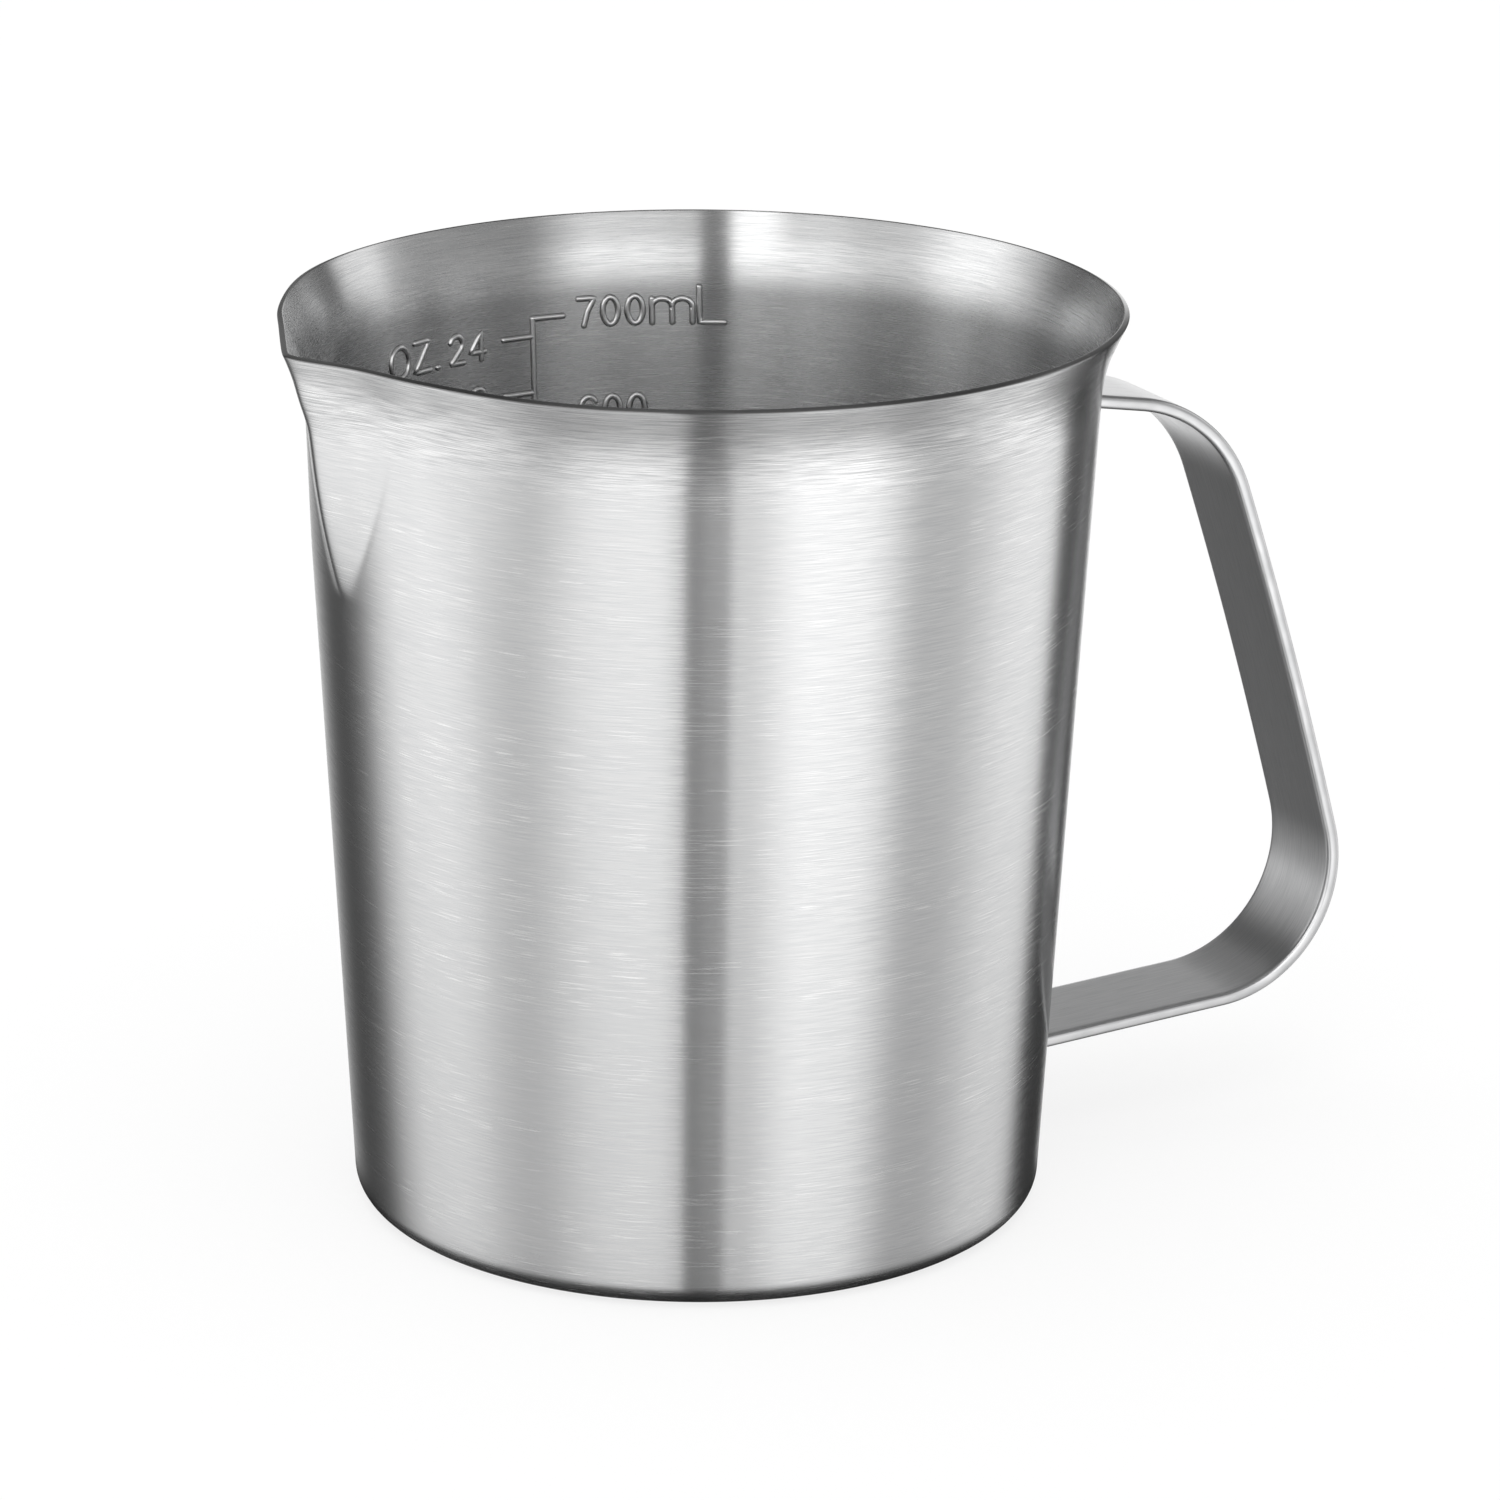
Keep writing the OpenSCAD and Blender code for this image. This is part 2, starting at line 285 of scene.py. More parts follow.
class NodeDesk:
    """Lays nodes in a tree with few words."""

    def __init__(self, tree: NodeTree) -> None:
        """Keeps the tree and clears it."""
        self.tree = tree
        tree.nodes.clear()

    def add(self, kind: str, **settings: object) -> Node:
        """Adds a node and sets its properties.

        Args:
            kind: Node type name.
            settings: Properties by name.

        Returns:
            The node.
        """
        node = self.tree.nodes.new(kind)
        for name, value in settings.items():
            setattr(node, name, value)
        return node

    def feed(self, node: Node, **sources: object) -> Node:
        """Links or sets inputs of a node, where _ stands for a space in a name.

        Args:
            node: Node whose inputs are fed.
            sources: Output socket to link, or plain value to set, by input name.
                A name such as in0 means the input with that number.

        Returns:
            The node.
        """
        for name, source in sources.items():
            numbered = name[:2] == "in" and name[2:].isdigit()
            key = int(name[2:]) if numbered else name.replace("_", " ")
            socket = node.inputs[key]
            if isinstance(source, Socket):
                self.tree.links.new(source, socket)
            else:
                socket.default_value = source
        return node

    def math(self, operation: str, *values: object) -> Socket:
        """Result of a Math node on values or sockets."""
        node = self.add("ShaderNodeMath", operation=operation)
        return self.feed(node, **{f"in{n}": value for n, value in enumerate(values)}).outputs[0]

    def ranged(self, value: Socket, low: float, high: float) -> Socket:
        """Value from 0..1 spread to low..high."""
        node = self.add("ShaderNodeMapRange")
        return self.feed(node, Value=value, To_Min=low, To_Max=high).outputs["Result"]

    def span(
        self, value: Socket, low: float, high: float, least: float = 0.0, how: str = "SMOOTHSTEP"
    ) -> Socket:
        """Goes from least to 1 as the value goes from low to high."""
        node = self.add("ShaderNodeMapRange", interpolation_type=how)
        return self.feed(
            node, Value=value, From_Min=low, From_Max=high, To_Min=least
        ).outputs["Result"]

    def blend(self, first: Socket, second: Socket, share: float) -> Socket:
        """Sum of two values, the first with a share and the second with the rest."""
        rest = self.math("MULTIPLY", second, 1.0 - share)
        return self.math("ADD", self.math("MULTIPLY", first, share), rest)

    def mix(self, factor: Socket, first: object, second: object, how: str = "MIX") -> Socket:
        """Colour between two colours, by a factor from 0 to 1."""
        node = self.add("ShaderNodeMix", data_type="RGBA", blend_type=how)
        return self.feed(node, Factor=factor, A=first, B=second).outputs["Result"]

    def painted(self, name: str, kind: str = "Fac") -> Socket:
        """Number or vector that the mesh keeps at its points."""
        return self.add("ShaderNodeAttribute", attribute_name=name).outputs[kind]

    def show(self, shader: Node) -> None:
        """Makes a shader the surface of the material."""
        self.feed(self.add("ShaderNodeOutputMaterial"), Surface=shader.outputs[0])


def fresh_material(name: str) -> tuple[Material, NodeDesk]:
    """Makes a material without nodes.

    Args:
        name: Name of the material.

    Returns:
        The material and the desk for its tree.
    """
    material = bpy.data.materials.new(name)
    material.use_nodes = True
    return material, NodeDesk(material.node_tree)


def brush_group() -> NodeTree:
    """Brush marks in sheet steel, from brush coordinates.

    Marks are noise stretched along the first two coordinates. Fine and short
    marks add up to a tone, and patches of thin scratches sink into the height
    and mask a painted glint.

    Returns:
        Group with inputs Grain, Mark Length, Mark Width and outputs Tone,
        Bands, Glint, Height.
    """
    group = bpy.data.node_groups.new("brush_marks", "ShaderNodeTree")
    face = group.interface
    face.new_socket("Grain", in_out="INPUT", socket_type="NodeSocketVector")
    for name in ("Mark Length", "Mark Width"):
        face.new_socket(name, in_out="INPUT", socket_type="NodeSocketFloat")
    for name in ("Tone", "Bands", "Glint", "Height"):
        face.new_socket(name, in_out="OUTPUT", socket_type="NodeSocketFloat")
    desk = NodeDesk(group)
    given = desk.add("NodeGroupInput").outputs
    per_length = desk.math("DIVIDE", 1.0, given["Mark Length"])
    per_width = desk.math("DIVIDE", 1.0, given["Mark Width"])

    def marks(longer: float, wider: float, detail: float) -> Socket:
        """Lays noise in cells of the size of a mark, times two factors.

        Args:
            longer: Factor of the length.
            wider: Factor of the width.
            detail: Octaves of finer noise.

        Returns:
            Value of the noise.
        """
        along = desk.math("DIVIDE", per_length, longer)
        across = desk.math("DIVIDE", per_width, wider)
        cell = desk.feed(desk.add("ShaderNodeCombineXYZ"), X=along, Y=along, Z=across)
        spot = desk.add("ShaderNodeVectorMath", operation="MULTIPLY")
        desk.feed(spot, in0=given["Grain"], in1=cell.outputs[0])
        noise = desk.add("ShaderNodeTexNoise", noise_dimensions="3D")
        desk.feed(noise, Vector=spot.outputs[0], Scale=1.0, Detail=detail)
        return noise.outputs["Fac"]

    fine = marks(longer=1.0, wider=1.0, detail=1.0)
    short = marks(longer=0.4, wider=0.8, detail=1.0)
    bands = marks(longer=4.0, wider=12.0, detail=2.0)
    scratch = desk.span(marks(longer=0.9, wider=0.9, detail=0.0), low=0.65, high=0.77)
    patch = marks(longer=7.0, wider=60.0, detail=1.0)
    glint = desk.math("MULTIPLY", scratch, desk.span(patch, low=0.38, high=0.62, least=0.25))
    mixed = desk.blend(fine, short, share=0.7)
    tone = desk.span(mixed, low=0.37, high=0.63, how="LINEAR")
    height = desk.math("SUBTRACT", mixed, desk.math("MULTIPLY", glint, GLINT_DEPTH))
    desk.feed(desk.add("NodeGroupOutput"), Tone=tone, Bands=bands, Glint=glint, Height=height)
    return group


@dataclass(frozen=True)
class SteelFinish:
    """A brushed steel finish.

    Attributes:
        name: Name of the material.
        dark: Colour at the bottom of a brush mark.
        light: Colour between marks.
        glint: Colour of the sparse scratches, a painted glint.
        rough_low: Roughness of the smoothest marks.
        rough_high: Roughness of the coarsest marks.
        anisotropy: How much gloss is drawn out across the marks.
        mark_length: Length of a mark in mm.
        mark_width: Width of a mark in mm.
        relief: Depth of the marks in mm.
        relief_share: Strength of the relief.
        tone_share: Share of the marks in the roughness. Broad bands take the rest.
        glint_rough: Roughness that a scratch adds.
        pressed_share: How much of the relief a press tool takes away.
        pressed_rough: Roughness that the press tool adds.
        scored_and_painted_light: Factors on dark and light marks in the band of
        scoring, for stronger streaks and a painted lift in brightness.
        cut: Colour of the painted shade on the sheared rim edge.
        corner: Painted shade in the corner round a pressed ridge, or None without ridges.
    """

    name: str
    dark: Triple
    light: Triple
    glint: Triple
    rough_low: float
    rough_high: float
    anisotropy: float
    mark_length: float
    mark_width: float
    relief: float
    relief_share: float
    tone_share: float = 0.75
    glint_rough: float = 0.04
    pressed_share: float = 0.0
    pressed_rough: float = 0.0
    scored_and_painted_light: Pair = (0.84, 1.28)
    cut: Triple = (0.2, 0.2, 0.2)
    corner: Triple | None = None

    def material(self, group: NodeTree) -> Material:
        """Builds the material around the shared brush marks.

        Args:
            group: Node group of the brush marks.

        Returns:
            The material.
        """
        material, desk = fresh_material(self.name)
        polish_and_painted_light, edge_shade_share = desk.painted(POLISH_AND_PAINTED_LIGHT), desk.painted(CUT_SHADE)
        marks = desk.feed(
            desk.add("ShaderNodeGroup", node_tree=group),
            Grain=desk.painted(GRAIN, "Vector"),
            Mark_Length=self.mark_length * MM,
            Mark_Width=self.mark_width * MM,
        ).outputs
        tone, glint = marks["Tone"], marks["Glint"]
        paint = desk.mix(tone, (*self.dark, 1.0), (*self.light, 1.0))
        # Painted glint: the sparse scratches take a brighter colour.
        paint = desk.mix(glint, paint, (*self.glint, 1.0))
        # Band of scoring on the flare: stronger streaks and a painted lift in brightness.
        streaks_and_painted_light = desk.ranged(tone, *self.scored_and_painted_light)
        paint = desk.mix(desk.math("MULTIPLY", polish_and_painted_light, -1.0), paint, streaks_and_painted_light, "MULTIPLY")
        # Painted shade: the rim's sheared edge takes a dark colour.
        paint = desk.mix(edge_shade_share, paint, (*self.cut, 1.0))
        # Painted shade: the corner colour darkens the flanks and root of each ridge.
        if self.corner is not None:
            paint = desk.mix(polish_and_painted_light, (*self.corner, 1.0), paint)
        weight = desk.blend(tone, marks["Bands"], self.tone_share)
        rough = desk.ranged(weight, self.rough_high, self.rough_low)
        rough = desk.math("ADD", rough, desk.math("MULTIPLY", glint, self.glint_rough))
        rough = desk.math("ADD", rough, desk.ranged(polish_and_painted_light, 0.0, self.pressed_rough))
        kept = desk.math("MULTIPLY_ADD", polish_and_painted_light, -self.pressed_share, 1.0)
        bump = desk.feed(
            desk.add("ShaderNodeBump"),
            Height=desk.math("MULTIPLY", marks["Height"], kept),
            Distance=self.relief * MM,
            Strength=self.relief_share,
        )
        tangent = desk.add("ShaderNodeTangent", direction_type="UV_MAP", uv_map=BRUSH_UV)
        shader = desk.feed(
            desk.add("ShaderNodeBsdfPrincipled"),
            Base_Color=paint,
            Metallic=1.0,
            Roughness=rough,
            Anisotropic=self.anisotropy,
            Normal=bump.outputs[0],
            Tangent=tangent.outputs[0],
        )
        desk.show(shader)
        return material


BOWL_STEEL = SteelFinish(
    name="bowl_brushed_steel",
    dark=(0.58, 0.585, 0.59),
    light=(0.635, 0.635, 0.635),
    glint=(0.80, 0.80, 0.795),
    rough_low=0.19,
    rough_high=0.27,
    anisotropy=1.0,
    mark_length=6.0,
    mark_width=0.09,
    relief=0.006,
    relief_share=1.0,
    pressed_share=0.6,
    pressed_rough=0.02,
)
# Ridge tops lighter than the bowl as a painted highlight, corners dark as painted shade.
SCALE_STEEL_WITH_PAINTED_LIGHT = SteelFinish(
    name="scale_steel_with_painted_light",
    dark=(0.74, 0.74, 0.74),
    light=(0.80, 0.80, 0.80),
    glint=(0.80, 0.80, 0.80),
    rough_low=0.30,
    rough_high=0.36,
    anisotropy=0.0,
    mark_length=3.4,
    mark_width=0.11,
    relief=0.004,
    relief_share=0.3,
    corner=(0.16, 0.16, 0.16),
)
HANDLE_STEEL = SteelFinish(
    name="handle_satin_steel",
    dark=(0.565, 0.57, 0.575),
    light=(0.68, 0.68, 0.685),
    glint=(0.68, 0.68, 0.68),
    rough_low=0.27,
    rough_high=0.33,
    anisotropy=0.3,
    mark_length=6.0,
    mark_width=0.1,
    relief=0.004,
    relief_share=0.4,
)
WELD_STEEL = SteelFinish(
    name="weld_dressed_steel",
    dark=(0.42, 0.42, 0.425),
    light=(0.53, 0.53, 0.535),
    glint=(0.54, 0.54, 0.545),
    rough_low=0.30,
    rough_high=0.44,
    anisotropy=0.0,
    mark_length=1.2,
    mark_width=0.35,
    relief=0.02,
    relief_share=0.5,
)


@dataclass
class Bowl:
    """The drawn bowl: floor, tapered wall, turned-out lip and pinched spout."""

    foot_r: float = 44.35
    mouth_r: float = 50.7
    rim_r: float = 53.35
    height: float = 116.9
    sheet: float = 0.8
    corner_r: float = 3.3
    lip_h: float = 6.4
    lip_bend_share: float = 0.62
    spout_h: float = 32.9
    spout_reach: float = 3.1
    spout_angle: float = 15.5
    spout_full_share: float = 0.75
    nose_angle: float = 0.9
    reach_power: float = 2.8
    width_power: float = 1.5
    crease: float = 0.2
    valley_dip: float = 0.06
    valley_width: float = 0.8
    # Heights of the band of stronger streaks and painted lift in brightness.
    scored_and_painted_light_z: Pair = (104.0, 110.0)
    throat_swell: float = 0.5
    throat_z: float = 111.0
    throat_h: float = 3.4
    throat_angle: float = 8.0
    shoulder_pull: float = 0.66
    shoulder_angle: float = 29.0
    shoulder_width: float = 13.0
    tip_dip: float = 0.8
    tip_dip_angle: float = 9.0
    edge_round: float = 0.22
    edge_power: float = 4.0
    spout_azimuth: float = 180.0
    grain_r: float = 50.0
    valley_start: float = 1.5
    foot_sink: float = 0.5
    foot_sink_share: float = 0.05
    flank_turn: float = 1.2
    groove_in: Pair = (0.08, 0.3)
    groove_out: Pair = (0.5, 0.72)
    shoulder_full_z: float = 108.0
    spout_fade: Pair = (-1.0, 2.0)
    floor_start_r: float = 2.0
    floor_steps: int = 9
    corner_steps: int = 12
    wall_steps: int = 12
    spout_steps: int = 30
    bend_steps: int = 15
    lip_steps: int = 6
    edge_steps: int = 15
    angle_stops: tuple[float, ...] = (0.0, 18.0, 40.0, 180.0)
    angle_steps: tuple[int, ...] = (72, 44, 126)

    def __post_init__(self) -> None:
        """Works out the slopes of wall and lip, the bend and the spout's foot."""
        self.spout_z = self.height - self.spout_h
        self.wall_slope = (self.mouth_r - self.foot_r) / self.height
        self.wall_stretch = np.hypot(1.0, self.wall_slope)
        knee_z = self.height - self.lip_h
        self.lip_slope = (self.rim_r - self.foot_r - self.wall_slope * knee_z) / self.lip_h
        self.wall_tilt = np.degrees(np.arctan(self.wall_slope))
        self.lip_tilt = np.degrees(np.arctan(self.lip_slope))
        reach = self.lip_bend_share * self.lip_h
        self.bend_r = reach / np.tan(np.radians(self.lip_tilt - self.wall_tilt) / 2)
        start_z = knee_z - reach / self.wall_stretch
        centre = np.array([self.wall_r(start_z), start_z])
        self.bend_centre = centre + self.bend_r * heading(-self.wall_tilt)

    def wall_r(self, z: Array, inset: float = 0.0) -> Array:
        """Radius of the straight wall at a height, inset from the outside."""
        return self.foot_r + self.wall_slope * z - inset * self.wall_stretch

    def meridian(self) -> Array:
        """Outside outline from the middle of the floor to the rim.

        Straight stretches and two arcs, tangent to each other.

        Returns:
            Radius and height in mm, one row for each station.
        """
        reach = self.corner_r * np.tan(np.radians(90.0 - self.wall_tilt) / 2)
        corner_centre = np.array([self.foot_r - reach, self.corner_r])
        corner_turn = np.linspace(-90.0, -self.wall_tilt, self.corner_steps)
        corner = corner_centre + self.corner_r * heading(corner_turn)
        floor_r = np.linspace(self.floor_start_r, corner[0, 0], self.floor_steps)[:-1]
        floor = np.stack([floor_r, np.zeros_like(floor_r)], -1)
        bend_turn = np.linspace(180.0 - self.wall_tilt, 180.0 - self.lip_tilt, self.bend_steps)
        bend = self.bend_centre + self.bend_r * heading(bend_turn)
        split_z = self.spout_z + self.spout_fade[0]
        low_z = np.linspace(corner[-1, 1], split_z, self.wall_steps)[1:]
        wall_z = np.append(low_z, np.linspace(split_z, bend[0, 1], self.spout_steps)[1:-1])
        wall = np.stack([self.wall_r(wall_z), wall_z], -1)
        edge_z = self.height - self.edge_round * np.cos(np.radians(self.lip_tilt))
        lip_z = np.linspace(bend[-1, 1], edge_z, self.lip_steps)[1:]
        lip = np.stack([self.rim_r - self.lip_slope * (self.height - lip_z), lip_z], -1)
        return np.vstack([floor, corner, wall, bend, lip])

    def spout_rise(self, bowl_r: Array, z: Array, off: Array) -> Array:
        """How far the pinched spout lifts the surface beyond the round bowl.

        At each height the flanks are straight lines from the keel to the bowl,
        r = p / cos(angle - normal), with a rounded nose. The surface is the
        smooth maximum of bowl and flank, (a + b + sqrt((a - b)^2 + k^2)) / 2,
        with a shallow groove, d exp(-(s / w)^2), along the line where they meet.

        Args:
            bowl_r: Radius of the round bowl.
            z: Height.
            off: Angle from the middle of the spout, in degrees.

        Returns:
            Rise in mm, with the same shape as the arguments.
        """
        share = np.clip((z - self.height + self.spout_h) / self.spout_h, 0.0, 1.0)
        opened = np.clip(share / self.spout_full_share, 0.0, 1.0)
        spread = self.spout_angle - self.valley_start
        widened = 1.0 - (1.0 - opened) ** self.width_power
        valley = np.radians(self.valley_start + spread * widened)
        sunk = self.foot_sink * (1.0 - smoothstep(0.0, self.foot_sink_share, share))
        tip = bowl_r + self.spout_reach * (1.0 - (1.0 - share) ** self.reach_power) - sunk
        normal = np.arctan2(tip - bowl_r * np.cos(valley), bowl_r * np.sin(valley))
        turn = np.radians(np.hypot(off, self.nose_angle)) - normal
        beyond = 2.0 - 1.0 / np.cos(np.clip(turn, 0.0, self.flank_turn))
        flank = tip * np.cos(normal) * np.where(turn < 0.0, 1.0 / np.cos(turn), beyond)
        gap = flank - bowl_r
        rise = (gap + np.sqrt(gap**2 + self.crease**2)) / 2
        apart = (np.radians(np.abs(off)) - valley) * bowl_r / self.valley_width
        groove = self.valley_dip * np.exp(-(apart**2)) * smoothstep(*self.groove_in, share)
        rise = rise - groove * (1.0 - smoothstep(*self.groove_out, share))
        swell = np.exp(
            -(((z - self.throat_z) / self.throat_h) ** 2) - (off / self.throat_angle) ** 2
        )
        pull = np.exp(-(((np.abs(off) - self.shoulder_angle) / self.shoulder_width) ** 2))
        pulled = self.shoulder_pull * pull * smoothstep(self.spout_z, self.shoulder_full_z, z)
        rise = rise + self.throat_swell * swell - pulled
        fade_start, fade_end = self.spout_fade
        return rise * smoothstep(self.spout_z + fade_start, self.spout_z + fade_end, z)

    def angles(self) -> Array:
        """Sets angles round the bowl, closer together at the spout.

        Returns:
            Angles in degrees, once round from the side facing away from the spout.
        """
        spans = zip(self.angle_stops, self.angle_stops[1:], self.angle_steps)
        parts = [np.linspace(first, last, steps + 1)[:-1] for first, last, steps in spans]
        half = np.append(np.concatenate(parts), self.angle_stops[-1])
        return self.spout_azimuth + np.concatenate([-half[:0:-1], half[:-1]])

    def build(self, material: Material) -> Object:
        """Builds the bowl as one closed skin and settles it.

        The outside is the meridian turned round the axis, with the spout's rise
        added to the radius. The inside is the outside moved along its normal by
        the sheet, and a rounded sheared edge joins them, which takes painted shade.

        Args:
            material: Finish of the bowl.

        Returns:
            The bowl.
        """
        outline = self.meridian()
        angle = self.angles()
        off = angle - self.spout_azimuth
        radius, z = (column[:, None] for column in outline.T)
        shape = (len(outline), len(angle))
        rise = self.spout_rise(*(np.broadcast_to(part, shape) for part in (radius, z, off)))
        round_trip = heading(angle)
        dip = self.tip_dip * np.exp(-((off / self.tip_dip_angle) ** 2))
        dip = dip * smoothstep(self.spout_z, self.height, z)
        outside = np.concatenate(
            [(radius + rise)[..., None] * round_trip, (z - dip)[..., None]], -1
        )
        up = np.gradient(outside, axis=0)
        wide = np.concatenate([outside[:, -1:], outside, outside[:, :1]], 1)
        side = wide[:, 2:] - wide[:, :-2]
        normal = np.cross(side, up)
        normal /= np.linalg.norm(normal, axis=-1, keepdims=True)
        flat = len(outline) - len(outline[outline[:, 1] > 0.0])
        normal[:flat] = [0.0, 0.0, -1.0]
        inside = outside - self.sheet * normal
        lip_way = up[-1] / np.linalg.norm(up[-1], axis=-1, keepdims=True)
        through = (1.0 - np.cos(np.linspace(0.0, np.pi, self.edge_steps)[1:-1])) / 2
        raised = 1.0 - np.abs(2.0 * through - 1.0) ** self.edge_power
        raised = self.edge_round * raised ** (1.0 / self.edge_power)
        edge = outside[-1] - self.sheet * through[:, None, None] * normal[-1]
        edge = edge + raised[:, None, None] * lip_way
        points = np.concatenate([outside, edge, inside[::-1]], 0)
        middle_r = np.linalg.norm(points[..., :2], axis=-1).mean(axis=1)
        across = travelled(middle_r, points[..., 2].mean(axis=1))
        rows, columns = points.shape[:2]
        turns = self.grain_r * np.broadcast_to(round_trip, (rows, columns, 2))
        deep = np.broadcast_to(across[:, None, None], (rows, columns, 1))
        along = self.grain_r * np.radians(np.append(angle, angle[0] + 360.0))
        # Band on the flare with stronger streaks and a painted lift in brightness.
        scored_and_painted_light = -smoothstep(*self.scored_and_painted_light_z, outline[:, 1])
        pressed = np.concatenate([scored_and_painted_light, np.zeros(len(edge)), np.ones(len(inside))])
        # Rows of the sheared rim edge, which take painted shade.
        edge_shade_share = np.zeros(rows)
        edge_shade_share[len(outline) : -len(inside)] = 1.0
        grain = np.concatenate([turns, deep], -1)
        tube = Tube(points, grain, across[:, None], along, pressed[:, None], edge_shade_share[:, None])
        return settle(make_piece("drawn_bowl", [tube]), Slot.BOWL, material, "jug_body")


@dataclass
class StrapHandle:
    """The bent strap and its two welds."""

    bowl: Bowl
    width: float = 15.2
    thickness: float = 1.8
    drop: float = 15.9
    foot_h: float = 13.3
    top_run: float = 10.3
    top_tilt: float = 9.5
    shoulder_r: float = 20.0
    grip_tilt: float = 70.5
    grip_bow: float = 4.0
    heel_r: float = 17.5
    foot_tilt: float = 3.5
    weld_gap: float = 0.5
    weld_leg: float = 0.55
    weld_sink: float = 0.2
    edge_power: float = 3.0
    edge_steps: int = 16
    face_steps: int = 10
    run_steps: int = 8
    shoulder_steps: int = 28
    grip_steps: int = 22
    heel_steps: int = 44
    foot_steps: int = 14
    weld_steps: int = 8

    def __post_init__(self) -> None:
        """Works out the ends of the strap on the wall."""
        upper_z, lower_z = self.bowl.height - self.drop, self.foot_h
        self.ends = {
            StrapEnd.UPPER: (np.array([self.bowl.wall_r(upper_z), upper_z]), -self.top_tilt),
            StrapEnd.LOWER: (np.array([self.bowl.wall_r(lower_z), lower_z]), self.foot_tilt),
        }

    def path(self) -> tuple[Array, Array]:
        """Middle line of the strap: run, bend, bowed grip, bend, run.

        A bend of radius R from angle a to b moves by R (u(a - 90) - u(b - 90)),
        where u is the unit vector of an angle. The chord of the grip is the
        length that closes the line between the two welds.

        Returns:
            Points in the handle's plane and directions in degrees.
        """

        def bend(
            start: Array, first: float, last: float, radius: float, steps: int
        ) -> tuple[Array, Array]:
            """Follows a bend.

            Args:
                start: Point where it starts.
                first: Direction at its start.
                last: Direction at its end.
                radius: Its radius.
                steps: Points along it.

            Returns:
                Points and directions.
            """
            turn = np.linspace(first, last, steps)
            way = heading(first - 90.0) - heading(turn - 90.0)
            return start + radius * way, turn

        upper, lower = (self.ends[end][0] for end in StrapEnd)
        top, grip, let_go = -self.top_tilt, -self.grip_tilt, -self.grip_tilt - self.grip_bow
        back = self.foot_tilt - 180.0
        run_s = np.linspace(0.0, self.top_run, self.run_steps)[:-1]
        run_way = heading(top)
        run = upper + run_s[:, None] * run_way
        shoulder, shoulder_turn = bend(
            upper + self.top_run * run_way, top, grip, self.shoulder_r, self.shoulder_steps
        )
        heel_step = bend(np.zeros(2), let_go, back, self.heel_r, 2)[0][-1]
        chord_way, back_way = heading((grip + let_go) / 2), heading(back)
        left = lower - shoulder[-1] - heel_step
        chord = np.linalg.solve(np.stack([chord_way, back_way], -1), left)[0]
        grip_r = chord / (2.0 * np.sin(np.radians(self.grip_bow / 2)))
        bow, bow_turn = bend(shoulder[-1], grip, let_go, grip_r, self.grip_steps)
        heel, heel_turn = bend(bow[-1], let_go, back, self.heel_r, self.heel_steps)
        home = np.linspace(0.0, 1.0, self.foot_steps)[1:, None]
        foot = heel[-1] + home * (lower - heel[-1])
        points = np.vstack([run, shoulder, bow[1:-1], heel, foot])
        run_turn, foot_turn = np.full(len(run), top), np.full(len(foot), back)
        turns = np.concatenate([run_turn, shoulder_turn, bow_turn[1:-1], heel_turn, foot_turn])
        return points, turns

    def outline(self, grow: float = 0.0) -> tuple[Array, Array]:
        """Cross-section of the strap, flat faces with softly squared edges.

        An edge is half of |y|^p + |q|^p = r^p, with the strap's half thickness r.

        Args:
            grow: How far the outline is grown all round.

        Returns:
            Place along the width and place along the thickness, in mm.
        """
        edge_r = self.thickness / 2 + grow
        straight = (self.width - self.thickness) / 2
        turn = np.linspace(-90.0, 90.0, self.edge_steps + 1)
        edge = heading(turn)
        edge = edge_r * np.sign(edge) * np.abs(edge) ** (2.0 / self.edge_power)
        span = np.linspace(straight, -straight, self.face_steps + 1)[1:-1]
        y = np.concatenate([straight + edge[:, 0], span, -straight - edge[:, 0], -span])
        face = np.full(len(span), edge_r)
        q = np.concatenate([edge[:, 1], face, -edge[:, 1], -face])
        return y, q

    def on_wall(self, end: StrapEnd, y: Array, q: Array, gap: float | Array) -> Array:
        """Where lines along a strap end meet the wall, held off by a gap.

        Slides each line's point until sqrt(x^2 + y^2) is the wall's radius plus
        the gap at its height. Each pass corrects what the last one left.

        Args:
            end: Which end of the strap.
            y: Place along the width.
            q: Place along the thickness.
            gap: Distance from the wall.

        Returns:
            Points in mm.
        """
        middle, angle = self.ends[end]
        way = heading(angle)
        square = heading(angle + 90.0)
        x = middle[0] + q * square[0]
        z = middle[1] + q * square[1]
        for _ in range(SOLVER_PASSES):
            held_r = self.bowl.wall_r(z) + gap * self.bowl.wall_stretch
            target = np.sqrt(held_r**2 - y**2)
            z = z + (target - x) * way[1] / way[0]
            x = target
        return np.stack([x, np.broadcast_to(y, x.shape), z], -1)

    def build(self, material: Material) -> Object:
        """Carries the cross-section along the path and settles the strap.

        Args:
            material: Finish of the strap.

        Returns:
            The strap.
        """
        points, turns = self.path()
        y, q = self.outline()
        square = heading(turns + 90.0)
        plane = points[:, None] + q[:, None] * square[:, None]
        skin = np.stack([plane[..., 0], np.broadcast_to(y, plane.shape[:2]), plane[..., 1]], -1)
        skin[0] = self.on_wall(StrapEnd.UPPER, y, q, self.weld_gap / 2)
        skin[-1] = self.on_wall(StrapEnd.LOWER, y, -q, self.weld_gap / 2)
        run = travelled(*points.T)
        shape = skin.shape[:2]
        grain = np.stack([np.broadcast_to(part, shape) for part in (run[:, None], q, y)], -1)
        loop = np.append(np.arange(len(y)), 0)
        tube = Tube(skin, grain, travelled(y[loop], q[loop]), run[:, None])
        return settle(make_piece("strap_handle", [tube]), Slot.HANDLE, material, "handle")

